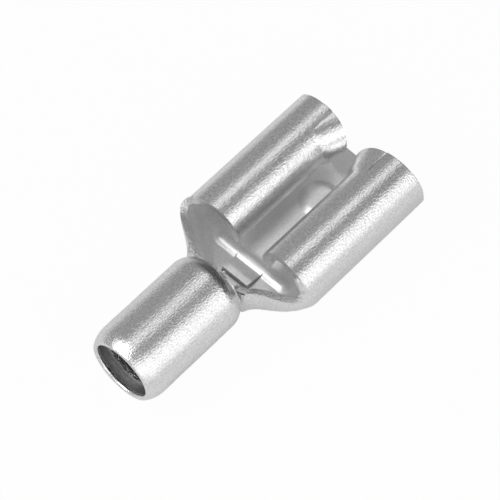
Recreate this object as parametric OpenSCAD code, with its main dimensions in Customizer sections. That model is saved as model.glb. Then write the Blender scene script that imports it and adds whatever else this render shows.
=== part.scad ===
// Female spade terminal for a 6.3 mm blade, with a plain metal crimp sleeve.
// Millimetres. +X runs from the wire entry to the mating end, +Z is up,
// and the origin is the middle of the footprint at the lowest level.

/* [Sheet] */
// Thickness of the stamped sheet
sheet_t = 0.35; // [0.3:0.05:0.4]

/* [Wire barrel] */
// Bore of the rolled wire barrel
barrel_id = 2.5; // [2.2:0.1:2.8]
// How far the barrel end sits inside the mouth of the sleeve
barrel_inset = 0.65; // [0.6:0.05:1]
// How far the closed barrel shows past the front rim of the sleeve
barrel_show = 0.12; // [0.05:0.01:0.3]
// Gap at the butt seam along the top of the barrel
seam_gap = 0.06; // [0.04:0.01:0.2]

/* [Crimp sleeve] */
// Length of the sleeve
sleeve_len = 6.1; // [5.5:0.1:7]
// Wall of the sleeve
sleeve_wall = 0.36; // [0.3:0.01:0.45]
// Clearance all round between the barrel and the sleeve
sleeve_clear = 0.02; // [0.02:0.01:0.06]
// How far the swaged mouth draws in at the wire end
mouth_draw = 0.14; // [0.08:0.01:0.2]
// Length over which the mouth draws in
mouth_len = 0.95; // [0.7:0.05:1.2]
// Length of the rounded shoulder at the other end
shoulder_len = 0.7; // [0.4:0.05:1]

/* [Receptacle] */
// Width over both rolls
recept_w = 7.7; // [7.5:0.05:8]
// Height of the rolls
roll_h = 3.3; // [3.2:0.05:3.5]
// Length of the straight rolls
roll_len = 7.6; // [7.2:0.1:8.5]
// Clear gap between the two rolls
roll_gap = 1.45; // [1.2:0.05:1.6]
// Radius of the rolled-in lip, on its outside
lip_r = 0.65; // [0.55:0.05:0.75]
// Angle at which the lip ends, counted from the inner side
lip_turn = 52; // [40:1:70]
// Outer radius of the bend between floor and side wall
corner_r = 1.15; // [1:0.05:1.3]

/* [Neck] */
// Length from the closed barrel to where the rolls are straight
neck_len = 2.8; // [2.6:0.05:3.2]
// Slope of the blank's flank, where it widens from the barrel to the rolls
flank_slope = 1.13; // [1:0.01:1.3]
// Length from the closed barrel to the rear rim of the rolls, near the floor
rim_run = 1.95; // [1.8:0.05:2.1]
// Slant of that rim along the width of the blank
rim_slant = 0.08; // [0.04:0.01:0.08]
// Sweep of the sheet around the barrel where the trough begins, each side
neck_sweep = 126; // [110:1:130]
// Share of the neck at which it reaches the full width
neck_full = 0.72; // [0.66:0.02:0.9]
// How much rounder the corners of the trough are than the barrel
neck_swell = 0.55; // [0.3:0.05:0.6]
// How much the sides of the trough splay as soon as they are free
neck_splay = 0.25; // [0.1:0.05:0.3]
// Upright part of those sides above the round corner
neck_wall = 0.1; // [0:0.05:0.2]
// How sharply the flank of the blank turns into the rear rim
flank_turn = 8; // [5:1:10]

/* [Blade stop and wire stop] */
// Length across of the bead that stops the blade
bead_span = 4.5; // [3.6:0.1:5]
// Width of the bead along the terminal
bead_w = 0.66; // [0.5:0.02:0.8]
// Height of the bead above the floor
bead_h = 0.16; // [0.1:0.01:0.22]
// Radius of the groove under the bead
bead_groove = 0.13; // [0.08:0.01:0.16]
// Distance from the closed barrel to the bead
bead_at = 2.55; // [2.4:0.05:2.7]
// Width of the lanced tongue that stops the wire
stop_w = 1.54; // [1.2:0.02:1.8]
// Length of that tongue
stop_len = 1.15; // [0.9:0.05:1.3]
// Height of its free edge above the floor
stop_rise = 0.5; // [0.3:0.05:0.6]
// Distance from the closed barrel to its free edge
stop_at = 1.33; // [1.3:0.01:1.4]

/* [Mating end] */
// Length of the slit that frees each lip
flare_len = 1.75; // [1.5:0.05:2]
// Length before the slit over which the lip bends open
flare_bend = 0.35; // [0.25:0.05:0.45]
// Lean of the front rim, back towards the top of the rolls
front_lean = 9; // [4:1:12]
// Angle of that slit, counted from the inner side of the roll
slit_at = 68; // [60:1:75]
// Width of that slit
slit_w = 0.06; // [0.05:0.01:0.12]
// Angle by which the freed lip runs past the inner side
flare_past = 5; // [0:1:8]
// Angle by which the freed lip is opened at its rear
flare_turn_rear = 14; // [8:1:16]
// Angle by which it is opened at its front
flare_turn_front = 33; // [24:1:34]
// How far the front corner of the freed lip is cut back
flare_back = 0.5; // [0.2:0.05:0.6]
// How far the floor dips at the front rim
scoop_drop = 0.25; // [0.15:0.01:0.3]
// Length of that dip
scoop_len = 1.5; // [1.2:0.05:1.7]
// Radius of that dip across the terminal
scoop_r = 6; // [4:0.5:10]
// Sheet left where the dip is coined
scoop_wall = 0.25; // [0.2:0.01:0.3]
// Distance of the detent dimple from the front rim
dimple_back = 3.15; // [2.8:0.05:3.4]
// Radius of the dimple where it leaves the floor
dimple_r = 1.05; // [0.8:0.05:1.1]
// Height of the dimple
dimple_h = 0.28; // [0.2:0.01:0.35]

/* [Hidden] */
barrel_od = barrel_id + 2 * sheet_t;
sleeve_ri = barrel_od / 2 + sleeve_clear;
sleeve_ro = sleeve_ri + sleeve_wall;
floor_z = sleeve_ro - barrel_od / 2;
mid_r = (barrel_od - sheet_t) / 2;
barrel_end = sleeve_len + barrel_show;
roll_start = barrel_end + neck_len;
total_len = roll_start + roll_len;
flare_start = total_len - flare_len;
roll_w = (recept_w - roll_gap) / 2;
roll_r = roll_w / 2;
roll_y = roll_gap / 2 + roll_r;
corner_y = recept_w / 2 - corner_r;
corner_mid = corner_r - sheet_t / 2;
lip_y = roll_gap / 2 + lip_r;
roll_top = roll_h - roll_r;
stop_x = barrel_end + stop_at;
bead_x = barrel_end + bead_at;
skin = 0.01;
lap = 0.06;
$fn = 64;

// ---- small helpers ----

function mix(a, b, t) = a + (b - a) * t;
function ease(t) = t * t * (3 - 2 * t);
function arc(c, r, a0, a1, n) =
    [for (i = [0:n]) c + r * [cos(mix(a0, a1, i / n)), sin(mix(a0, a1, i / n))]];
function turn(a) = [cos(a), sin(a)];

// Stands a drawing of the cross-section up, so that it runs along +X
module run(x0, length) {
    translate([x0, 0, 0]) rotate([90, 0, 90]) linear_extrude(length) children();
}

// Pie slice used to keep part of a ring, between two angles below 180 apart
module slice(r, a0, a1) {
    polygon([[0, 0], r * [cos(a0), sin(a0)], r * [cos((a0 + a1) / 2), sin((a0 + a1) / 2)] * 1.6,
        r * [cos(a1), sin(a1)]]);
}

// Part of a ring of sheet, by its outer radius and its two angles
module bend(r, a0, a1) {
    intersection() {
        difference() {
            circle(r);
            circle(r - sheet_t);
        }
        slice(2 * r, a0, a1);
    }
}

// A closed strip of sheet lofted through stations: rows of outer points, then inner
module sheet_loft(outer, inner) {
    n = len(outer[0]);
    m = len(outer);
    rows = [for (i = [0:m - 1]) concat(outer[i], [for (j = [n - 1:-1:0]) inner[i][j]])];
    k = 2 * n;
    points = [for (row = rows) each row];
    sides = [for (i = [0:m - 2], j = [0:k - 1], h = [0, 1]) h == 0
        ? [i * k + j, (i + 1) * k + j, i * k + (j + 1) % k]
        : [i * k + (j + 1) % k, (i + 1) * k + j, (i + 1) * k + (j + 1) % k]];
    cap0 = [for (j = [0:n - 2], h = [0, 1]) h == 0
        ? [j, j + 1, k - 1 - j] : [j + 1, k - 2 - j, k - 1 - j]];
    top = (m - 1) * k;
    cap1 = [for (f = cap0) [top + f[0], top + f[2], top + f[1]]];
    polyhedron(points = points, faces = concat(sides, cap0, cap1));
}

// ---- the stamped terminal ----

// Rolled wire barrel, a true bore with its butt seam on top
module barrel() {
    run(barrel_inset, barrel_end - barrel_inset)
        translate([0, barrel_od / 2])
            difference() {
                circle(barrel_od / 2);
                circle(barrel_id / 2);
                translate([-seam_gap / 2, 0]) square([seam_gap, barrel_od]);
            }
}

// One roll: corner, side wall, top and rolled-in lip
module roll_profile() {
    translate([corner_y, corner_r]) bend(corner_r, -90, 0);
    translate([recept_w / 2 - sheet_t, corner_r]) square([sheet_t, roll_top - corner_r]);
    translate([roll_y, roll_top]) bend(roll_r, 0, 90);
    translate([roll_y, roll_top]) bend(roll_r, 90, 180);
    translate([lip_y, roll_top]) bend(lip_r, 180, 180 + lip_turn);
}

// Floor and both rolls as the sheet is folded
module receptacle_profile() {
    translate([-corner_y, 0]) square([2 * corner_y, sheet_t]);
    roll_profile();
    mirror([1, 0]) roll_profile();
}

// The neck's section at share u of its length: half width, corner radius, floor and
// roll centre, all on the middle of the sheet
function clamp(t) = min(1, max(0, t));
function neck_w(u) =
    mix(mid_r + neck_splay * clamp(u / 0.1), recept_w / 2 - sheet_t / 2, ease(clamp(u / neck_full)));
function neck_r(u) =
    mix(mid_r + neck_swell * ease(clamp(u / 0.35)), corner_mid, ease(clamp((u - 0.6) / 0.4)));
function neck_flat(u) = neck_w(u) - neck_r(u);
function neck_top(u) =
    max(neck_r(u) + sheet_t / 2 + neck_wall * clamp(u / 0.1) * clamp((0.7 - u) / 0.3), roll_top);

// Length of the sheet on each side, from the middle of the floor to its edge
roll_mid = roll_r - sheet_t / 2;
lip_mid = lip_r - sheet_t / 2;
side_reach = corner_y + PI / 2 * corner_mid + roll_top - corner_r;
lip_reach = side_reach + PI * roll_mid;
full_reach = lip_reach + lip_turn * PI / 180 * lip_mid;
start_reach = neck_sweep * PI / 180 * mid_r;

// Where the rear edge of the blank lies, at distance d from the middle of the sheet:
// the flank runs out at its slope and turns into the nearly straight rim of the rolls
function edge_x(d) =
    let (s = d - start_reach, flank = flank_slope * s, rim = rim_run + rim_slant * s)
    s <= 0 ? -lap : pow(pow(flank, -flank_turn) + pow(rim, -flank_turn), -1 / flank_turn);

// Point of the section at distance d along the sheet, moved off its middle by o
function neck_pt(u, d, o) =
    let (f = neck_flat(u), r = neck_r(u), z = neck_top(u), w = neck_w(u),
        d1 = d - f, d2 = d1 - r * PI / 2, d3 = d2 - (z - r - sheet_t / 2), d4 = d3 - PI * roll_mid)
    d1 <= 0 ? [d, sheet_t / 2 - o]
    : d2 <= 0 ? [f, r + sheet_t / 2] + (r + o) * turn(d1 / r * 180 / PI - 90)
    : d3 <= 0 ? [w + o, r + sheet_t / 2 + d2]
    : d4 <= 0 ? [w - roll_mid, z] + (roll_mid + o) * turn(d3 / roll_mid * 180 / PI)
    : [w - 2 * roll_mid + lip_mid, z] + (lip_mid + o) * turn(180 + d4 / lip_mid * 180 / PI);

// Distances at which the loft is sampled: close together where the edge turns
turn_reach = start_reach + 1.5 * rim_run;
neck_ds = concat(
    [for (i = [0:10]) start_reach * i / 10],
    [for (i = [1:14]) mix(start_reach, turn_reach, i / 14)],
    [for (i = [1:12]) mix(turn_reach, lip_reach, i / 12)],
    [for (i = [1:5]) mix(lip_reach, full_reach, i / 5)]);
neck_n = len(neck_ds) - 1;

function neck_row(t, o) =
    [for (j = [-neck_n:neck_n]) let (
        d = neck_ds[abs(j)],
        x = mix(edge_x(d), neck_len + lap, t),
        p = neck_pt(clamp(x / neck_len), d, o))
        [barrel_end + x, j < 0 ? -p[0] : p[0], p[1]]];

// Open trough that widens from the barrel and runs out into the rolls
module neck() {
    m = 12;
    o = sheet_t / 2 - skin;
    sheet_loft([for (i = [0:m]) neck_row(i / m, o)], [for (i = [0:m]) neck_row(i / m, -o)]);
}

// Freed lip at the front of one roll: part of the roll swung open about its slit
hinge = [roll_y, roll_top] + (roll_r - sheet_t / 2) * [-cos(slit_at), sin(slit_at)];
function swing(p, a) =
    let (d = p - hinge)
    hinge + [d[0] * cos(a) + d[1] * sin(a), d[1] * cos(a) - d[0] * sin(a)];
function rim_x(z) = total_len - z * tan(front_lean);

// One row along the terminal at share t, from the slit (first) to the free edge (last);
// up to the slit's rear end the row still overlaps the roll
flare_rear = flare_start - flare_bend;
bend_share = flare_bend / (flare_bend + flare_len);
function flare_row(t, o, n) =
    let (
        root = 180 - slit_at + (t <= bend_share ? -5 : 1),
        free = 180 + flare_past,
        open = mix(flare_turn_rear, flare_turn_front, t) * ease(min(1, t / bend_share)))
    [for (i = [0:n]) let (
        p = swing(arc([roll_y, roll_top], roll_r - o, root, free, n)[i], open),
        front = rim_x(roll_h) - flare_back * pow(i / n, 1.5))
        [mix(flare_rear - lap, front, t), p[0], p[1]]];

module flared_lip() {
    n = 10;
    m = 12;
    sheet_loft(
        [for (i = [0:m]) flare_row(i / m, skin, n)],
        [for (i = [0:m]) flare_row(i / m, sheet_t - skin, n)]);
}

// Space cleared for the opened lip, up to the slit near the roll's top
slit_turn = slit_w / roll_r * 180 / PI;
module lip_room() {
    run(flare_rear, flare_bend + flare_len + 1)
        difference() {
            translate([-1, sheet_t + 0.3]) square([roll_y + 1, roll_h]);
            translate([roll_y, roll_top]) slice(2 * roll_r, 80, 180 - slit_at + 1 - slit_turn);
        }
}

// What is cut away so that the front rim leans back
module rim_cut() {
    translate([total_len, -recept_w, 0])
        rotate([0, -front_lean, 0])
            translate([0, 0, -2])
                cube([4, 2 * recept_w, 3 * roll_h]);
}

// Tilted cylinder whose lowest line slopes down from the floor to the front rim
scoop_start = total_len - scoop_len;
scoop_tilt = atan(scoop_drop / scoop_len);
module scoop(grow) {
    translate([scoop_start, 0, sheet_t])
        rotate([0, 90 + scoop_tilt, 0])
            translate([-scoop_r, 0, -scoop_len])
                cylinder(r = scoop_r + grow, h = 3 * scoop_len);
}

// Block that holds only the front strip of the floor
module front_block(past, top) {
    translate([scoop_start - 0.4, -corner_y, -1])
        cube([scoop_len + 0.4 + past, 2 * corner_y, 1 + top]);
}

// Pressed dimple that clicks into the hole of the blade
dome_r = (dimple_r * dimple_r + dimple_h * dimple_h) / (2 * dimple_h);
module dimple(r) {
    translate([total_len - dimple_back, 0, sheet_t + dimple_h - dome_r]) sphere(r);
}

// Bead across the floor that stops the blade
bead_r = (bead_w * bead_w / 4 + bead_h * bead_h) / (2 * bead_h);
module bead(r, span) {
    translate([bead_x, -span / 2, sheet_t + bead_h - bead_r])
        rotate([-90, 0, 0]) cylinder(r = r, h = span);
}

// Tongue lanced out of the floor, facing the barrel
stop_tilt = atan(stop_rise / stop_len);
module wire_stop() {
    translate([stop_x + stop_len, -stop_w / 2, sheet_t])
        rotate([0, stop_tilt, 0])
            translate([-stop_len / cos(stop_tilt), 0, -sheet_t])
                cube([stop_len / cos(stop_tilt) + 0.1, stop_w, sheet_t]);
}

module stop_window() {
    translate([stop_x, -stop_w / 2 - slit_w, -1])
        cube([stop_len - 0.2, stop_w + 2 * slit_w, 1 + sheet_t + 0.3]);
}

// What stands above or below the flat floor
module floor_raised() {
    intersection() {
        dimple(dome_r);
        translate([0, -dimple_r * 1.5, sheet_t / 2]) cube([total_len, 3 * dimple_r, 1]);
    }
    intersection() {
        bead(bead_r, bead_span);
        translate([0, -bead_span, sheet_t / 2]) cube([total_len, 2 * bead_span, 1]);
    }
    intersection() {
        scoop(scoop_wall);
        front_block(0, sheet_t - skin);
    }
}

// What is pressed or coined out of it
module floor_pressed() {
    intersection() {
        dimple(dome_r - sheet_t);
        translate([0, -dimple_r * 1.5, -1]) cube([total_len, 3 * dimple_r, 1 + sheet_t]);
    }
    translate([bead_x, -bead_span / 2 + bead_groove, 0])
        rotate([-90, 0, 0]) cylinder(r = bead_groove, h = bead_span - 2 * bead_groove);
    intersection() {
        scoop(0);
        front_block(1, sheet_t + skin);
    }
}

module terminal_body() {
    color("silver")
        translate([-total_len / 2, 0, floor_z])
            difference() {
                union() {
                    barrel();
                    difference() {
                        neck();
                        stop_window();
                    }
                    wire_stop();
                    difference() {
                        run(roll_start, roll_len) receptacle_profile();
                        rim_cut();
                        lip_room();
                        mirror([0, 1, 0]) lip_room();
                    }
                    flared_lip();
                    mirror([0, 1, 0]) flared_lip();
                    floor_raised();
                }
                floor_pressed();
            }
}

// ---- the crimp sleeve ----

// Drawn tube, swaged in at the mouth and rounded at the other end
function swage_r(len_, draw) = (len_ * len_ + draw * draw) / (2 * draw);

module crimp_sleeve() {
    draw_o = mouth_draw * 2;
    mouth_ri = sleeve_ri - mouth_draw;
    mouth_ro = sleeve_ro - draw_o;
    shoulder_draw = sleeve_wall * 0.75;
    tip = (mouth_ro - mouth_ri) / 2;
    ro = swage_r(mouth_len - tip, draw_o);
    ri = swage_r(mouth_len - tip, mouth_draw);
    rs = swage_r(shoulder_len, shoulder_draw);
    ao = asin((mouth_len - tip) / ro);
    ai = asin((mouth_len - tip) / ri);
    a_shoulder = asin(shoulder_len / rs);
    color("lightgray")
        translate([-total_len / 2, 0, sleeve_ro])
            rotate([0, 90, 0])
                rotate_extrude($fn = 96)
                    polygon(concat(
                        arc([sleeve_ri - ri, mouth_len], ri, 0, -ai, 6),
                        arc([mouth_ri + tip, tip], tip, 180, 360, 8),
                        arc([sleeve_ro - ro, mouth_len], ro, -ao, 0, 8),
                        arc([sleeve_ro - rs, sleeve_len - shoulder_len], rs, 0, a_shoulder, 8),
                        [[sleeve_ri, sleeve_len]]));
}

terminal_body();
crimp_sleeve();
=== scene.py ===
# %% [markdown]
# # Female spade terminal
# This lesson dresses a small push-on terminal: a stamped and tinned brass sheet, folded into a
# wire barrel, an open neck and two rolled sides, with a plain drawn tube over the barrel.
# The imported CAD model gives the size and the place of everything. Both pieces are built once
# more here, with rounded edges, and get a tin finish, soft light and a camera. Four small forms
# differ a little from the CAD model: the tongue, the dimple, the freed lips and the sleeve's
# mouth.

# %% Load the frame
import bpy, math
from mathutils import Matrix, Vector


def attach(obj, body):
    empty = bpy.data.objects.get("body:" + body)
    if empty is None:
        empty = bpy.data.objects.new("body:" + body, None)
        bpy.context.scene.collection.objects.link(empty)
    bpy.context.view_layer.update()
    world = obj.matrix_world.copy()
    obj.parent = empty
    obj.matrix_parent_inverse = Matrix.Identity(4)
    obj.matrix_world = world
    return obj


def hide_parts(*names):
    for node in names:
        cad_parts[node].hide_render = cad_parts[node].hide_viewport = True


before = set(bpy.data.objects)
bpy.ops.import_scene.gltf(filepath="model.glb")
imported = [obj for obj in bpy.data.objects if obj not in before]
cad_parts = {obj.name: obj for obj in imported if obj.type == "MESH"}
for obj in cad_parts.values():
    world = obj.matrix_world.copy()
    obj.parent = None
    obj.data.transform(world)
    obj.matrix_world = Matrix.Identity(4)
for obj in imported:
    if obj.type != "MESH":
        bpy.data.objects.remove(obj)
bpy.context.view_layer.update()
mm = 0.001

# %% [markdown]
# ## The camera
# The terminal lies with its wire entry towards the viewer, and is seen from high up on that side.
# A long lens keeps the lines along the part almost parallel. The camera could be placed by hand,
# but building its matrix from an azimuth and an elevation says exactly where it stands. A last
# small shift, to the right and up, puts the part where it should lie in the view.

# %% Place the camera
SENSOR, NEAR = 36, 1 * mm
SHIFT_RIGHT, SHIFT_UP = 0.188, 0.216


def look_axes(azimuth, elevation, roll):
    a, e, r = (math.radians(v) for v in (azimuth, elevation, roll))
    back = Vector((math.sin(a) * math.cos(e), -math.cos(a) * math.cos(e), math.sin(e)))
    right = Vector((math.cos(a), math.sin(a), 0))
    up = back.cross(right)
    return right * math.cos(r) + up * math.sin(r), up * math.cos(r) - right * math.sin(r), back


def add_camera(azimuth, elevation, roll, distance, lens, aim):
    data = bpy.data.cameras.new("view")
    data.lens = lens
    data.sensor_width = SENSOR
    data.clip_start = NEAR
    cam = bpy.data.objects.new("view", data)
    right, up, back = look_axes(azimuth, elevation, roll)
    place = Vector(aim) + back * distance + right * SHIFT_RIGHT * mm + up * SHIFT_UP * mm
    cam.matrix_world = Matrix((right, up, back)).transposed().to_4x4()
    cam.matrix_world.translation = place
    bpy.context.scene.collection.objects.link(cam)
    return cam


camera = add_camera(azimuth=-47.88, elevation=59.18, roll=0.58,
                    distance=116.3 * mm, lens=182, aim=(0, 0, 2 * mm))
bpy.context.scene.camera = camera
print("camera at", [round(c / mm, 1) for c in camera.location], "mm")

# %% [markdown]
# ## The floor
# A small metal part is often shown on plain white. The floor's colour could be a diffuse white,
# but then the lamps would leave it grey. So the floor is a mix of two surfaces, and the kind of
# ray decides the mix. Rays straight from the camera see almost only its own white, and what is
# left of the diffuse one carries a very faint shadow. Rays that the metal mirrors see a fifth of
# that white, because a mirrored white floor would wash out the dark streaks. All other rays meet
# plain diffuse grey. The patch under the slot of the neck is plain for all rays, so that the slot
# looks dark. This is a trick for the look: a real table is the same to every ray. The patch has
# a price, too: from low down behind the part it shows as a dark spot beside the neck.

# %% Make the floor
TABLE, TABLE_DROP = 2.0, 0.02 * mm
PLAIN_GREY, OWN_WHITE = 0.8, 1
DARK_X, DARK_Y = (-0.45 * mm, 0.6 * mm), (0.05 * mm, 0.85 * mm)
WHITE_TO_CAMERA, WHITE_IN_MIRRORS = 0.96, 0.2


def tree_of(holder):
    holder.use_nodes = True
    tree = holder.node_tree
    tree.nodes.clear()
    return tree


def math_node(tree, kind, a, b=None):
    node = tree.nodes.new("ShaderNodeMath")
    node.operation = kind
    for slot, value in ((0, a), (1, b)):
        if value is None:
            continue
        if isinstance(value, (int, float)):
            node.inputs[slot].default_value = value
        else:
            tree.links.new(value, node.inputs[slot])
    return node.outputs[0]


def white_floor(dark_x, dark_y, white_share, mirror_share):
    """dark_x and dark_y give the middle and the half width of the plain patch."""
    mat = bpy.data.materials.new("pale_table")
    tree = tree_of(mat)
    new, link = tree.nodes.new, tree.links.new
    out = new("ShaderNodeOutputMaterial")
    mixed = new("ShaderNodeMixShader")
    plain = new("ShaderNodeBsdfDiffuse")
    plain.inputs["Color"].default_value = (PLAIN_GREY, PLAIN_GREY, PLAIN_GREY, 1)
    glow = new("ShaderNodeEmission")
    glow.inputs["Strength"].default_value = OWN_WHITE
    parts = new("ShaderNodeSeparateXYZ")
    link(new("ShaderNodeTexCoord").outputs["Object"], parts.inputs[0])
    outside = []
    for axis, (middle, half) in (("X", dark_x), ("Y", dark_y)):
        off = math_node(tree, "SUBTRACT", parts.outputs[axis], middle)
        off = math_node(tree, "ABSOLUTE", off)
        outside.append(math_node(tree, "GREATER_THAN", off, half))
    clear = math_node(tree, "MAXIMUM", outside[0], outside[1])
    ray = new("ShaderNodeLightPath").outputs
    seen = math_node(tree, "MULTIPLY", ray["Is Camera Ray"], white_share)
    mirrored = math_node(tree, "MULTIPLY", ray["Is Glossy Ray"], mirror_share)
    either = math_node(tree, "MAXIMUM", seen, mirrored)
    link(math_node(tree, "MULTIPLY", either, clear), mixed.inputs[0])
    link(plain.outputs[0], mixed.inputs[1])
    link(glow.outputs[0], mixed.inputs[2])
    link(mixed.outputs[0], out.inputs["Surface"])
    return mat


def add_floor(size):
    data = bpy.data.meshes.new("table")
    h = size / 2
    data.from_pydata([(-h, -h, 0), (h, -h, 0), (h, h, 0), (-h, h, 0)], [], [(0, 1, 2, 3)])
    data.materials.append(white_floor(DARK_X, DARK_Y, WHITE_TO_CAMERA, WHITE_IN_MIRRORS))
    table = bpy.data.objects.new("table", data)
    table.location.z = -TABLE_DROP
    bpy.context.scene.collection.objects.link(table)
    return table


floor = add_floor(TABLE)
print("floor:", floor.name, TABLE, "m square")

# %% [markdown]
# ## The light
# Tinned metal shows little colour of its own: what one sees is the room in it. So the lamps are
# placed by what the rolls should mirror. A wide lamp on the right side gives the broad white band
# on every rolled surface. A strip overhead, along the part, gives the thin band near the top.
# A small, strong lamp over the wire end lights the neck and the mouth of the sleeve. The lamps
# could be spheres or spots, but a long rectangle leaves a straight band on a rolled surface.

# %% Hang the lamps
def add_lamp(name, side_angle, forward, distance, opening, length, radiance):
    """A rectangle with its long side along the part. side_angle and opening are degrees."""
    a = math.radians(side_angle)
    across = math.sqrt(1 - forward * forward)
    away = Vector((forward, across * math.cos(a), across * math.sin(a)))
    along = (Vector((1, 0, 0)) - away * away.x).normalized()
    data = bpy.data.lights.new(name, "AREA")
    data.shape = "RECTANGLE"
    data.size, data.size_y = length, 2 * distance * math.tan(math.radians(opening / 2))
    data.energy = radiance * math.pi * data.size * data.size_y
    lamp = bpy.data.objects.new(name, data)
    lamp.matrix_world = Matrix((along, away.cross(along), away)).transposed().to_4x4()
    lamp.matrix_world.translation = away * distance
    bpy.context.scene.collection.objects.link(lamp)
    return lamp


lamps = [
    add_lamp("wide_side_lamp", side_angle=157, forward=-0.25, distance=0.30,
             opening=62, length=0.66, radiance=1.0),
    add_lamp("narrow_top_strip", side_angle=80, forward=-0.3, distance=0.30,
             opening=24, length=0.80, radiance=0.8),
    add_lamp("wire_end_lamp", side_angle=62, forward=-0.60, distance=0.30,
             opening=40, length=0.26, radiance=2.1),
]
print("lamps:", [lamp.name for lamp in lamps])

# %% [markdown]
# ## The room
# Between the lamps the metal mirrors the room, and that makes the dark streaks. The room could be
# walls built around the part, but a world colour does the same without a mesh. It is an even grey
# that fades darker beyond the mating end, where the lips and the dip of the floor look. The
# camera itself sees white there instead of the grey.

# %% Paint the room
FADE_FROM, FADE_TO = 0.45, 0.8


def set_world(room, far_end, seen):
    """room and far_end are the brightness around and beyond the mating end."""
    world = bpy.data.worlds.new("room")
    bpy.context.scene.world = world
    tree = tree_of(world)
    new, link = tree.nodes.new, tree.links.new
    out = new("ShaderNodeOutputWorld")
    mixed = new("ShaderNodeMixShader")
    grey, white = new("ShaderNodeBackground"), new("ShaderNodeBackground")
    white.inputs["Strength"].default_value = seen
    white.inputs["Color"].default_value = (1, 1, 1, 1)
    parts = new("ShaderNodeSeparateXYZ")
    link(new("ShaderNodeTexCoord").outputs["Generated"], parts.inputs[0])
    fade = new("ShaderNodeMapRange")
    fade.interpolation_type = "SMOOTHSTEP"
    fade.inputs["From Min"].default_value = FADE_FROM
    fade.inputs["From Max"].default_value = FADE_TO
    fade.inputs["To Min"].default_value = room
    fade.inputs["To Max"].default_value = far_end
    link(parts.outputs["X"], fade.inputs["Value"])
    link(fade.outputs[0], grey.inputs["Strength"])
    link(new("ShaderNodeLightPath").outputs["Is Camera Ray"], mixed.inputs[0])
    link(grey.outputs[0], mixed.inputs[1])
    link(white.outputs[0], mixed.inputs[2])
    link(mixed.outputs[0], out.inputs["Surface"])


set_world(room=0.45, far_end=0.10, seen=1.0)
bpy.context.scene.view_settings.view_transform = "Standard"
print("room set")

# %% [markdown]
# ## The tin finish
# The sheet is brass with a few thousandths of a millimetre of bright tin. The tin copies the
# rolling marks of the sheet, so it has fine streaks along the part and a mottled grain. A grey
# with a little roughness would look like plastic. Here three noises tilt the surface a little: a
# fine grain, long streaks and broad waves. The fine one also changes the shade, and the broad
# one how rough the tin is. They are reliefs in the finish, and move no surface.
#
# The outside, the inside, the cut edges and the two bores have a finish each. The inside's is
# only half a metal, with white under it. Tin is a metal throughout, so that is a choice for the
# look: it lets the deep, narrow rolls and the trough take up light from everywhere. The two bores
# are darker tins: painted shade for their depth.

# %% Mix the tin
FINE, STREAK, BROAD = (10000, 13000, 13000), (900, 6000, 6000), (700, 900, 900)
DETAIL = 2
NOISE_LOW, NOISE_HIGH = 0.3, 0.7
SMOOTHER, ROUGHER = 0.85, 1.25
DARK_SHARE, DARKER_METAL = 0.95, 0.2


def noise(tree, coords, scale, detail, seed):
    mapping = tree.nodes.new("ShaderNodeMapping")
    mapping.inputs["Scale"].default_value = scale
    mapping.inputs["Location"].default_value = (seed, seed * 0.7, seed * 1.3)
    tree.links.new(coords, mapping.inputs["Vector"])
    tex = tree.nodes.new("ShaderNodeTexNoise")
    tex.inputs["Scale"].default_value = 1
    tex.inputs["Detail"].default_value = detail
    tree.links.new(mapping.outputs[0], tex.inputs["Vector"])
    return tex.outputs["Fac"]


def spread(tree, value, low, high):
    """Stretches the middle of a noise's range over low to high."""
    part = tree.nodes.new("ShaderNodeMapRange")
    part.inputs["From Min"].default_value = NOISE_LOW
    part.inputs["From Max"].default_value = NOISE_HIGH
    part.inputs["To Min"].default_value = low
    part.inputs["To Max"].default_value = high
    tree.links.new(value, part.inputs["Value"])
    return part.outputs[0]


def bump(tree, height, depth, before=None):
    node = tree.nodes.new("ShaderNodeBump")
    node.inputs["Distance"].default_value = depth
    tree.links.new(height, node.inputs["Height"])
    if before:
        tree.links.new(before, node.inputs["Normal"])
    return node.outputs[0]


def tin(name, grey, rough, shine, grain, streaks, wave):
    """shine is how metallic it is. grain, streaks and wave are the reliefs' depths."""
    mat = bpy.data.materials.new(name)
    tree = tree_of(mat)
    out = tree.nodes.new("ShaderNodeOutputMaterial")
    metal = tree.nodes.new("ShaderNodeBsdfPrincipled")
    metal.inputs["Metallic"].default_value = shine
    coords = tree.nodes.new("ShaderNodeTexCoord").outputs["Object"]
    fine = noise(tree, coords, FINE, DETAIL, seed=0.3)
    streak = noise(tree, coords, STREAK, DETAIL, seed=1.7)
    broad = noise(tree, coords, BROAD, DETAIL, seed=4.1)
    shade = tree.nodes.new("ShaderNodeMix")
    shade.data_type = "RGBA"
    dark = grey * (DARK_SHARE - DARKER_METAL * shine)
    shade.inputs["A"].default_value = (dark, dark, dark, 1)
    shade.inputs["B"].default_value = (grey, grey, grey, 1)
    tree.links.new(spread(tree, fine, 0, 1), shade.inputs["Factor"])
    tree.links.new(shade.outputs["Result"], metal.inputs["Base Color"])
    patchy = spread(tree, broad, rough * SMOOTHER, rough * ROUGHER)
    tree.links.new(patchy, metal.inputs["Roughness"])
    relief = bump(tree, broad, wave)
    relief = bump(tree, streak, streaks, relief)
    relief = bump(tree, fine, grain, relief)
    tree.links.new(relief, metal.inputs["Normal"])
    tree.links.new(metal.outputs[0], out.inputs["Surface"])
    return mat


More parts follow.
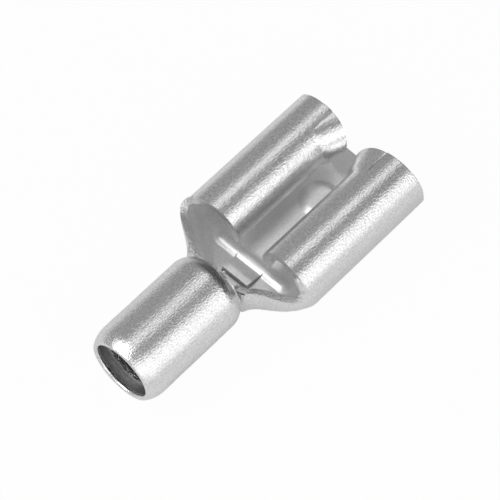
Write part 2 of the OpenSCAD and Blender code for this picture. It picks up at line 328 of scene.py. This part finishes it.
sheet_tin = tin("bright_tin_sheet", grey=0.90, rough=0.21, shine=1,
                grain=0.015 * mm, streaks=0.002 * mm, wave=0.005 * mm)
inner_tin = tin("inner_tin", grey=1.0, rough=0.34, shine=0.52,
                grain=0.004 * mm, streaks=0.001 * mm, wave=0.004 * mm)
tube_tin = tin("bright_tin_tube", grey=0.88, rough=0.21, shine=1,
               grain=0.018 * mm, streaks=0.002 * mm, wave=0.008 * mm)
# The sleeve's bore is painted shade: a dark tin stands in for the shade deep inside the tube.
bore_shade_tin = tin("sleeve_bore_painted_shade", grey=0.30, rough=0.35, shine=1,
               grain=0.020 * mm, streaks=0.002 * mm, wave=0.010 * mm)
edge_tin = tin("sheared_edge", grey=0.72, rough=0.34, shine=1,
               grain=0.07 * mm, streaks=0.0, wave=0.03 * mm)
# The barrel's bore is painted shade too: a darker tin stands in for the shade inside the barrel.
barrel_shade_tin = tin("barrel_bore_painted_shade", grey=0.55, rough=0.24, shine=1,
                 grain=0.040 * mm, streaks=0.002 * mm, wave=0.02 * mm)
finishes = (sheet_tin, inner_tin, tube_tin, bore_shade_tin, barrel_shade_tin, edge_tin)
print("finishes:", ", ".join(finish.name for finish in finishes))

# %% [markdown]
# ## The sizes of the folded sheet
# The terminal is one flat blank of sheet, folded. So it is modelled as the real one is made: as
# the middle surface of the sheet, which gets its thickness later. Every point is named by two
# lengths, how far it lies along the part and how far it lies from the middle of the blank,
# measured along the folded sheet. All sizes here are millimetres. A name that ends in MID is a
# radius to the middle of the sheet, and one that ends in REACH is a distance from the middle of
# the blank. FREE_REACH has to stay below FULL_REACH, or the net crosses itself.

# %% Write down the sizes
SHEET = 0.35
BARREL_MID, BARREL_END, BARREL_START = 1.425, 6.22, 0.65
NECK, TOTAL, FLOOR_Z = 2.8, 16.62, 0.38
HALF_WIDTH = 7.7 / 2 - SHEET / 2
CORNER_MID, ROLL_MID, LIP_MID, ROLL_TOP = 0.975, 1.3875, 0.475, 1.7375
CORNER_OUT, SLIT_ANGLE, FREE_ANGLE, LIP_ANGLE = 1.15, 112, 194, 52
START_REACH = math.radians(126) * BARREL_MID
SIDE_REACH = (HALF_WIDTH - CORNER_MID) + math.pi / 2 * CORNER_MID + ROLL_TOP - CORNER_OUT
LIP_REACH = SIDE_REACH + math.pi * ROLL_MID
FULL_REACH = LIP_REACH + math.radians(LIP_ANGLE) * LIP_MID
SLIT_REACH = SIDE_REACH + math.radians(SLIT_ANGLE) * ROLL_MID
FREE_REACH = SIDE_REACH + math.radians(FREE_ANGLE) * ROLL_MID
SLIT = 0.06
print("half the blank is", round(FULL_REACH, 2), "mm wide")

# %% [markdown]
# ## How the sheet folds
# The hardest form of the part is the neck, where the round barrel opens into a trough and the
# trough runs out into the two rolls. A section through it is always the same chain: flat floor,
# round corner, upright side, roll and lip. Only the sizes of the links change along the neck, so
# one function gives every section, and the surface flows without a seam.

# %% Fold the section
SPLAY, SWELL, WALL = 0.25, 0.55, 0.1
FREE_BY, SWELL_BY, FULL_BY = 0.1, 0.35, 0.72
CORNER_FROM, CORNER_RUN, WALL_UNTIL, WALL_FADE = 0.6, 0.4, 0.7, 0.3
FLANK_SLOPE, RIM_RUN, RIM_SLANT, EDGE_POWER = 1.13, 1.95, 0.08, 8


def mix(a, b, t):
    return a + (b - a) * t


def clamp(t):
    return min(1.0, max(0.0, t))


def ease(t):
    t = clamp(t)
    return t * t * (3 - 2 * t)


def fold(u, d):
    """Across and up, at share u of the neck and distance d from the middle of the sheet."""
    half = mix(BARREL_MID + SPLAY * clamp(u / FREE_BY), HALF_WIDTH, ease(u / FULL_BY))
    swell = SWELL * ease(u / SWELL_BY)
    corner = mix(BARREL_MID + swell, CORNER_MID, ease((u - CORNER_FROM) / CORNER_RUN))
    wall = WALL * clamp(u / FREE_BY) * clamp((WALL_UNTIL - u) / WALL_FADE)
    top = max(corner + SHEET / 2 + wall, ROLL_TOP)
    flat, base = half - corner, corner + SHEET / 2
    if d <= flat:
        y, z = d, SHEET / 2
    elif d - flat <= corner * math.pi / 2:
        a = (d - flat) / corner
        y, z = flat + corner * math.sin(a), base - corner * math.cos(a)
    elif d - flat - corner * math.pi / 2 <= top - base:
        y, z = half, base + d - flat - corner * math.pi / 2
    else:
        a = (d - flat - corner * math.pi / 2 - (top - base)) / ROLL_MID
        if a <= math.pi:
            y, z = half - ROLL_MID + ROLL_MID * math.cos(a), top + ROLL_MID * math.sin(a)
        else:
            a = math.pi + (a - math.pi) * ROLL_MID / LIP_MID
            y = half - 2 * ROLL_MID + LIP_MID + LIP_MID * math.cos(a)
            z = top + LIP_MID * math.sin(a)
    a = d / BARREL_MID
    tube = (BARREL_MID * math.sin(a), BARREL_MID + SHEET / 2 - BARREL_MID * math.cos(a))
    share = ease(u / FREE_BY)
    return mix(tube[0], y, share), mix(tube[1], z, share)


def rear_edge(d):
    """Where the blank begins behind the barrel's end: the slanted flank, then the rolls' rim."""
    s = d - START_REACH
    if s <= 1e-6:
        return 0.0
    flank, rim = FLANK_SLOPE * s, RIM_RUN + RIM_SLANT * s
    return (flank ** -EDGE_POWER + rim ** -EDGE_POWER) ** (-1 / EDGE_POWER)


print("section at the middle of the neck:", [round(v, 2) for v in fold(0.5, 3.0)])

# %% [markdown]
# ## What is stamped into the floor
# Three things are pressed into the flat floor: a bead across it that stops the blade, a round
# dimple that clicks into the hole of the blade, and a dip at the mouth that leads the blade in.
# They could be separate solids, but a press moves the whole sheet, so the middle surface itself
# is raised and lowered, and the underside follows by itself. The freed lip of each roll is bent
# in the same press: it swings open about its slit, more at its front than at its rear.

# %% Press the floor
BEAD_AT, BEAD_HALF_SPAN, BEAD_HALF_WIDTH, BEAD_RISE = 2.55, 1.92, 0.36, 0.16
DIMPLE_AT, DIMPLE_RADIUS, DIMPLE_SLOPE, DIMPLE_RISE = 7.25, 1.05, 0.42, 0.19
DIP_AT, DIP_SLOPE, DIP_ROUND = 8.9, 0.1667, 24
LIP_AT, LIP_LENGTH, TURN_REAR, TURN_FRONT, TURN_EASE = 8.3, 2.1, 5, 33, 0.15


def pressed(x, y):
    """How far the floor is raised, x mm beyond the barrel's end and y mm off the middle."""
    across = max(0.0, abs(y) - BEAD_HALF_SPAN)
    r = min(1.0, math.hypot(x - BEAD_AT, across) / BEAD_HALF_WIDTH)
    height = BEAD_RISE * (0.5 + 0.5 * math.cos(math.pi * r))
    height += DIMPLE_RISE * ease((DIMPLE_RADIUS - math.hypot(x - DIMPLE_AT, y)) / DIMPLE_SLOPE)
    return height - max(0.0, DIP_SLOPE * (x - DIP_AT) - y * y / DIP_ROUND)


def swung(d, x):
    """A point of the freed lip, turned open about the slit."""
    a = (d - SIDE_REACH) / ROLL_MID
    centre = HALF_WIDTH - ROLL_MID
    y, z = centre + ROLL_MID * math.cos(a), ROLL_TOP + ROLL_MID * math.sin(a)
    h = math.radians(SLIT_ANGLE)
    hy, hz = centre + ROLL_MID * math.cos(h), ROLL_TOP + ROLL_MID * math.sin(h)
    t = clamp((x - LIP_AT) / LIP_LENGTH)
    turn = math.radians(mix(TURN_REAR, TURN_FRONT, t) * ease(t / TURN_EASE))
    y, z = y - hy, z - hz
    return (hy + y * math.cos(turn) + z * math.sin(turn),
            hz + z * math.cos(turn) - y * math.sin(turn))


print("bead stands", round(pressed(BEAD_AT, 0), 2), "mm,",
      "dimple", round(pressed(DIMPLE_AT, 0), 2), "mm")

# %% [markdown]
# ## Rows and columns
# The blank is covered with a net. Columns run along the part at fixed distances from its middle,
# and rows cross it. Both are close together where something is pressed or bent, and some lie
# exactly on a cut: the slit of each lip and the outline of the tongue that stops the wire.

# %% Lay out the net
SLOT_IN, SLOT_OUT, FLOOR_EDGE, SLIT_AT = 0.78, 0.82, 2.7, 8.65
LEAN, LIP_HEIGHT, LIP_CUT_BACK = 9, 3.3, 0.5


def steps(marks, sizes):
    """Places from mark to mark, in equal steps no longer than that stretch's size."""
    out = [marks[0]]
    for a, b, size in zip(marks, marks[1:], sizes):
        n = max(1, math.ceil((b - a) / size - 1e-9))
        out += [a + (b - a) * k / n for k in range(1, n + 1)]
    return out


half_columns = steps(
    [0, SLOT_IN, SLOT_OUT, FLOOR_EDGE, START_REACH, SIDE_REACH, SLIT_REACH, SLIT_REACH + SLIT,
     LIP_REACH, FREE_REACH, FULL_REACH],
    [0.11, 0.1, 0.1, 0.11, 0.12, 0.13, 0.1, 0.13, 0.07, 0.07])
columns = [-d for d in reversed(half_columns[1:])] + half_columns
barrel_rows = 14
neck_rows = 40
long_rows = steps([NECK, 6.1, LIP_AT, SLIT_AT], [0.25, 0.075, 0.07])[1:]
mouth_rows = 24
row_count = barrel_rows + neck_rows + len(long_rows) + mouth_rows + 1
print(len(columns), "columns and", row_count, "rows")


def row_place(row, d):
    """Distance from the barrel's end at which column d crosses this row."""
    if row < barrel_rows:
        return mix(BARREL_START - BARREL_END, 0, row / barrel_rows)
    row -= barrel_rows
    if row <= neck_rows:
        return mix(rear_edge(d), NECK, row / neck_rows)
    row -= neck_rows
    if row <= len(long_rows):
        return long_rows[row - 1]
    row -= len(long_rows)
    lean = math.tan(math.radians(LEAN))
    if SLIT_REACH + SLIT / 2 < d < FREE_REACH + 0.01:
        share = clamp((d - SLIT_REACH - SLIT) / (FREE_REACH - SLIT_REACH - SLIT))
        front = TOTAL - BARREL_END - LIP_HEIGHT * lean - LIP_CUT_BACK * share ** 1.5
    else:
        front = TOTAL - BARREL_END - fold(1, d)[1] * lean
    return mix(SLIT_AT, front, row / mouth_rows)


# %% [markdown]
# ## The tongue
# The tongue is lanced: cut on three sides and lifted, so the wire can't slide into the blade's
# room. It could be a flap of its own, but then it would need a seam where it grows from the
# floor. In the net it is a patch of the floor that rises smoothly towards the barrel. The faces
# along its three cut sides are left out, which opens the slot around it.

# %% Place the points and leave out the cuts
tongue_rows = (barrel_rows + 19, barrel_rows + 35)
TONGUE_HALF, TONGUE_ROOT, TONGUE_RUN, TONGUE_RISE = 0.8, 2.45, 0.9, 0.3
PRESSED_TO, SEAM_HALF, HAIR, NEAR_CUT, NEAR_SLOT = 2.9, 0.03, 1e-6, 0.01, 0.02


def net_point(row, d):
    side, d = (-1 if d < 0 else 1), abs(d)
    x = row_place(row, d)
    freed = x > LIP_AT + HAIR and d > SLIT_REACH + SLIT / 2
    y, z = swung(d, x) if freed else fold(x / NECK, d)
    if d < PRESSED_TO and x > 0:
        z += pressed(x, y)
    if d < TONGUE_HALF and tongue_rows[0] <= row <= tongue_rows[1]:
        z += TONGUE_RISE * ease((TONGUE_ROOT - x) / TONGUE_RUN)
    return Vector((BARREL_END + x - TOTAL / 2, side * y, z + FLOOR_Z)) * mm


def is_cut(row, d0, d1):
    """True for a face between rows row and row + 1 that is not there."""
    low, high = sorted((abs(d0), abs(d1)))
    seam = math.pi * BARREL_MID - SEAM_HALF
    if row < barrel_rows:
        return high > seam
    x = row_place(row + 1, low)
    if x > LIP_AT + HAIR and low > FREE_REACH - NEAR_CUT:
        return True
    in_slit = SLIT_REACH - NEAR_CUT < low and high < SLIT_REACH + SLIT + NEAR_CUT
    if x > SLIT_AT + HAIR and in_slit:
        return True
    across = SLOT_IN - NEAR_SLOT < low and high < SLOT_OUT + NEAR_SLOT
    beside = across and tongue_rows[0] - 1 <= row < tongue_rows[1]
    behind = high < SLOT_OUT + NEAR_SLOT and row == tongue_rows[0] - 1
    return beside or behind


# %% [markdown]
# ## From net to sheet
# The barrel's end is wider than the trough that grows out of it, so beyond the trough's edge the
# net is torn: the two sides of the tear have points of their own. Then two modifiers do what
# would be long by hand. Solidify gives the sheet its thickness, and Bevel rounds the cut edges a
# little, which makes them catch the light.
#
# The net has six finishes in two rows of three: inside, outside and cut edge, first for the neck
# and the rolls and then for the barrel. The barrel's inside is a darker tin, painted shade for
# the depth of its bore. A face of the net has the number of the inside, and Solidify counts on
# from it: one further for the outside and two further for the cut edge.

# %% Knit the sheet
NECK_FINISH, BARREL_SHADE_FINISH = 0, 3
WEAR, WEAR_STEPS, WEAR_ANGLE = 0.075, 3, 50


def knit_sheet():
    verts, index, faces, finish_index = [], {}, [], []

    def point(row, col, part):
        torn = row == barrel_rows and abs(columns[col]) > START_REACH + 1e-6
        key = (row, col, part if torn else 0)
        if key not in index:
            index[key] = len(verts)
            if torn and part == 1:
                d = columns[col]
                y, z = fold(0, abs(d))
                y = y if d > 0 else -y
                verts.append(Vector((BARREL_END - TOTAL / 2, y, z + FLOOR_Z)) * mm)
            else:
                verts.append(net_point(row, columns[col]))
        return index[key]

    for row in range(row_count - 1):
        part = 1 if row < barrel_rows else 2
        for col in range(len(columns) - 1):
            if is_cut(row, columns[col], columns[col + 1]):
                continue
            faces.append((point(row, col, part), point(row + 1, col, part),
                          point(row + 1, col + 1, part), point(row, col + 1, part)))
            finish_index.append(BARREL_SHADE_FINISH if row < barrel_rows else NECK_FINISH)
    data = bpy.data.meshes.new("sheet_net")
    data.from_pydata(verts, [], faces)
    # The fourth finish, the barrel's inside, is painted shade: a darker tin for the depth of its
    # bore.
    for mat in (inner_tin, sheet_tin, edge_tin, barrel_shade_tin, sheet_tin, edge_tin):
        data.materials.append(mat)
    data.polygons.foreach_set("material_index", finish_index)
    data.polygons.foreach_set("use_smooth", [True] * len(data.polygons))
    data.update()
    return bpy.data.objects.new("folded_sheet", data)


def finished_copy(obj, name):
    """A plain mesh with the modifiers applied, in a new object at the origin."""
    bpy.context.view_layer.update()
    seen = obj.evaluated_get(bpy.context.evaluated_depsgraph_get())
    data = bpy.data.meshes.new_from_object(seen)
    data.name = name
    result = bpy.data.objects.new(name, data)
    bpy.context.scene.collection.objects.link(result)
    bpy.data.objects.remove(obj)
    return result


net = knit_sheet()
bpy.context.scene.collection.objects.link(net)
thick = net.modifiers.new("thickness", "SOLIDIFY")
thick.thickness = SHEET * mm
thick.offset = 0
thick.use_even_offset = True
thick.material_offset = 1
thick.material_offset_rim = 2
soft = net.modifiers.new("worn_edges", "BEVEL")
soft.width = WEAR * mm
soft.segments = WEAR_STEPS
soft.limit_method = "ANGLE"
soft.angle_limit = math.radians(WEAR_ANGLE)
sheet = finished_copy(net, "stamped_terminal")
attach(sheet, "root")
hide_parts("terminal_body")
print("stamped terminal:", len(sheet.data.polygons), "faces")

# %% [markdown]
# ## The crimp sleeve
# The sleeve is a piece of drawn tube, drawn in at its mouth and rounded at the other end. A turned
# form follows a rule: one section, carried round an axis. So Geometry Nodes make it. The section
# is a small closed outline, once round the wall. It could be drawn point by point, but each bend
# is an arc, so arcs say it with few numbers. The mouth's lip is a small full round, from which
# the outside swells to the width of the tube in one long arc.

# %% Draw the section of the sleeve
TUBE_IN, TUBE_OUT, TUBE_LENGTH = 1.62, 1.98, 6.1
MOUTH, MOUTH_DRAW, MOUTH_LEAN, LIP_ROUND = 0.95, 0.14, 32, 0.14
SHOULDER, SHOULDER_DROP, END_ROUND, BORE_BACK = 0.7, 0.27, 0.045, 0.1


def arc(cx, cy, r, a0, a1, n):
    angles = [math.radians(mix(a0, a1, k / n)) for k in range(n + 1)]
    return [(cx + r * math.cos(a), cy + r * math.sin(a)) for a in angles]


def tube_section():
    """Along and out from the axis, in mm, once round the wall."""
    ri, ro, length, shoulder = TUBE_IN, TUBE_OUT, TUBE_LENGTH, SHOULDER
    mouth_ri, lip_r = ri - MOUTH_DRAW, LIP_ROUND
    slant, rise = math.sin(math.radians(MOUTH_LEAN)), math.cos(math.radians(MOUTH_LEAN))
    bow_o = (ro - mouth_ri - lip_r * (1 + rise)) / (1 - rise)
    drawn = lip_r * (1 - slant) + bow_o * slant
    run = MOUTH - lip_r
    bow_i = (run * run + MOUTH_DRAW ** 2) / (2 * MOUTH_DRAW)
    bow_s = (shoulder ** 2 + SHOULDER_DROP ** 2) / (2 * SHOULDER_DROP)
    turn_i = math.degrees(math.asin(run / bow_i))
    turn_s = math.degrees(math.asin(shoulder / bow_s))
    lip = arc(lip_r, mouth_ri + lip_r, lip_r, 270, 90 + MOUTH_LEAN, 14)
    outside = arc(drawn, ro - bow_o, bow_o, 90 + MOUTH_LEAN, 90, 12)
    middle = [(mix(drawn, length - shoulder, k / 40), ro) for k in range(1, 40)]
    rounded = arc(length - shoulder, ro - bow_s, bow_s, 90, 90 - turn_s, 12)
    end = arc(length - END_ROUND, ri + END_ROUND, END_ROUND, 0, -90, 4)
    bore = [(mix(length - BORE_BACK, MOUTH, k / 12), ri) for k in range(12)]
    inside = arc(MOUTH, ri - bow_i, bow_i, 90, 90 + turn_i, 8)
    return lip[:-1] + outside + middle + rounded + end + bore + inside[:-1]


def section_object():
    points = [Vector((x - TOTAL / 2, r, 0)) * mm for x, r in tube_section()]
    data = bpy.data.meshes.new("tube_section")
    n = len(points)
    data.from_pydata(points, [(k, (k + 1) % n) for k in range(n)], [])
    obj = bpy.data.objects.new("tube_section", data)
    bpy.context.scene.collection.objects.link(obj)
    return obj


outline = section_object()
print("the sleeve's section has", len(outline.data.vertices), "points")

# %% [markdown]
# ## The tree and its inputs
# A node tree is easier to use again when its sizes have names. So the tree's inputs come first:
# the section and its number of points, the steps round the axis, the height of the axis, the
# dents with a fixed seed, and the two finishes. Each input also has an identifier, and it is the
# identifier that the modifier's values are set by.

# %% Name the tree's inputs
BORE_EDGE, BORE_FROM, MERGE = 1.66, 0.2, 0.0005
DENT_DEPTH, DENT_SIZE, DENT_SEED, DENT_MIDDLE = 0.02, 900.0, 3.0, 0.75


def turning_tree():
    tree = bpy.data.node_groups.new("turned_tube", "GeometryNodeTree")
    face = tree.interface
    sockets = {}
    for name, kind, value in (
            ("Section", "NodeSocketObject", None), ("Section Points", "NodeSocketInt", 96),
            ("Steps Round", "NodeSocketInt", 128),
            ("Axis Height", "NodeSocketFloat", TUBE_OUT * mm),
            ("Dent Depth", "NodeSocketFloat", DENT_DEPTH * mm),
            ("Dent Size", "NodeSocketFloat", DENT_SIZE),
            ("Dent Seed", "NodeSocketFloat", DENT_SEED),
            ("Bore Edge", "NodeSocketFloat", BORE_EDGE * mm),
            ("Bore Start", "NodeSocketFloat", 0.0),
            # The bore's finish carries painted shade: a dark tin for the depth of the bore.
            ("Finish", "NodeSocketMaterial", None),
            ("Bore Finish", "NodeSocketMaterial", None)):
        item = face.new_socket(name, in_out="INPUT", socket_type=kind)
        if value is not None:
            item.default_value = value
        sockets[name] = item.identifier
    face.new_socket("Geometry", in_out="OUTPUT", socket_type="NodeSocketGeometry")
    return tree, sockets


tube_tree, tube_sockets = turning_tree()
print("the tree's inputs:", ", ".join(tube_sockets))

# %% [markdown]
# ## Turn the grid
# A grid's points are numbered line by line. So a point's number says which line it is on, which
# becomes its angle round the axis, and which place it has on that line, which becomes its point
# of the section. The first and last lines meet, and Merge by Distance joins them. Curve to Mesh
# could do it in one node. The grid takes more, but each point's place is worked out in plain
# sight.

# %% Turn a grid into a tube
def calc(kind, a, b=None):
    return math_node(tube_tree, kind, a, b)


new, link = tube_tree.nodes.new, tube_tree.links.new
given = new("NodeGroupInput").outputs
result = new("NodeGroupOutput").inputs
grid = new("GeometryNodeMeshGrid")
link(calc("ADD", given["Steps Round"], 1), grid.inputs["Vertices X"])
link(calc("ADD", given["Section Points"], 1), grid.inputs["Vertices Y"])
index = new("GeometryNodeInputIndex").outputs[0]
per_line = calc("ADD", given["Section Points"], 1)
round_index = calc("FLOOR", calc("DIVIDE", index, per_line))
along_index = calc("MODULO", calc("MODULO", index, per_line), given["Section Points"])
angle = calc("MULTIPLY", calc("DIVIDE", round_index, given["Steps Round"]), 2 * math.pi)
source = new("GeometryNodeObjectInfo")
link(given["Section"], source.inputs["Object"])
pick = new("GeometryNodeSampleIndex")
pick.data_type = "FLOAT_VECTOR"
link(source.outputs["Geometry"], pick.inputs["Geometry"])
link(new("GeometryNodeInputPosition").outputs[0], pick.inputs["Value"])
link(along_index, pick.inputs["Index"])
parts = new("ShaderNodeSeparateXYZ")
link(pick.outputs[0], parts.inputs[0])
place = new("ShaderNodeCombineXYZ")
link(parts.outputs["X"], place.inputs["X"])
link(calc("MULTIPLY", parts.outputs["Y"], calc("COSINE", angle)), place.inputs["Y"])
rise = calc("MULTIPLY", parts.outputs["Y"], calc("SINE", angle))
link(calc("ADD", rise, given["Axis Height"]), place.inputs["Z"])
turned = new("GeometryNodeSetPosition")
link(grid.outputs["Mesh"], turned.inputs["Geometry"])
link(place.outputs[0], turned.inputs["Position"])
closed = new("GeometryNodeMergeByDistance")
closed.inputs["Distance"].default_value = MERGE * mm
link(turned.outputs[0], closed.inputs["Geometry"])
print("the tree turns a grid into a tube")

# %% [markdown]
# ## Dents
# Crimping tools and the tumbling barrel of the plating shop leave the tube slightly uneven. A
# slow noise pushes each point along its normal, mostly inwards, by a hundredth of a millimetre or
# so. It could be a relief in the finish, but then the outline would stay perfectly straight.

# %% Dent the tube
dents = new("ShaderNodeTexNoise")
dents.noise_dimensions = "4D"
dents.inputs["Detail"].default_value = 1
link(given["Dent Size"], dents.inputs["Scale"])
link(given["Dent Seed"], dents.inputs["W"])
link(new("GeometryNodeInputPosition").outputs[0], dents.inputs["Vector"])
off_middle = calc("SUBTRACT", dents.outputs["Fac"], DENT_MIDDLE)
inward = calc("MULTIPLY", off_middle, given["Dent Depth"])
push = new("ShaderNodeVectorMath")
push.operation = "SCALE"
link(new("GeometryNodeInputNormal").outputs[0], push.inputs[0])
link(inward, push.inputs["Scale"])
dented = new("GeometryNodeSetPosition")
link(closed.outputs[0], dented.inputs["Geometry"])
link(push.outputs[0], dented.inputs["Offset"])
print("the noise dents the tube")

# %% [markdown]
# ## The tube's finishes
# The outside is bright tin, and the bore is a dark tin: painted shade for the depth of the bore.
# The tree could take a painted attribute, but the bore is simply all that lies near the axis and
# behind the mouth, so two comparisons pick it out. Realize Instances comes before the finishes,
# because the export needs plain faces.

# %% Give the tube its finishes
smooth = new("GeometryNodeSetShadeSmooth")
link(dented.outputs[0], smooth.inputs["Geometry"])
real = new("GeometryNodeRealizeInstances")
link(smooth.outputs[0], real.inputs[0])
paint = new("GeometryNodeSetMaterial")
link(real.outputs[0], paint.inputs["Geometry"])
link(given["Finish"], paint.inputs["Material"])
spot = new("ShaderNodeSeparateXYZ")
link(new("GeometryNodeInputPosition").outputs[0], spot.inputs[0])
above = calc("SUBTRACT", spot.outputs["Z"], given["Axis Height"])
square = calc("ADD", calc("MULTIPLY", above, above),
              calc("MULTIPLY", spot.outputs["Y"], spot.outputs["Y"]))
narrow = calc("LESS_THAN", calc("SQRT", square), given["Bore Edge"])
deep = calc("GREATER_THAN", spot.outputs["X"], given["Bore Start"])
inside = calc("MULTIPLY", narrow, deep)
# The bore near the axis and behind the mouth gets the dark tin, painted shade for its depth.
paint_bore = new("GeometryNodeSetMaterial")
link(paint.outputs[0], paint_bore.inputs["Geometry"])
link(inside, paint_bore.inputs["Selection"])
link(given["Bore Finish"], paint_bore.inputs["Material"])
link(paint_bore.outputs[0], result["Geometry"])
print("the tube has its finishes:", tube_tin.name, "and", bore_shade_tin.name)

# %% [markdown]
# ## Run the tree
# An empty mesh carries the tree as a modifier. The inputs are set before the mesh is looked at
# for the first time, and the result becomes a plain mesh, because the modifier wouldn't be
# exported.

# %% Make the sleeve
holder = bpy.data.objects.new("tube_maker", bpy.data.meshes.new("tube_maker"))
bpy.context.scene.collection.objects.link(holder)
maker = holder.modifiers.new("turned_tube", "NODES")
maker.node_group = tube_tree
maker[tube_sockets["Section"]] = outline
maker[tube_sockets["Section Points"]] = len(outline.data.vertices)
maker[tube_sockets["Bore Start"]] = (BORE_FROM - TOTAL / 2) * mm
maker[tube_sockets["Finish"]] = tube_tin
# The bore's finish is painted shade: a dark tin for the depth of the bore.
maker[tube_sockets["Bore Finish"]] = bore_shade_tin
sleeve = finished_copy(holder, "drawn_sleeve")
bpy.data.objects.remove(outline)
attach(sleeve, "root")
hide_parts("crimp_sleeve")
print("drawn sleeve:", len(sleeve.data.polygons), "faces")
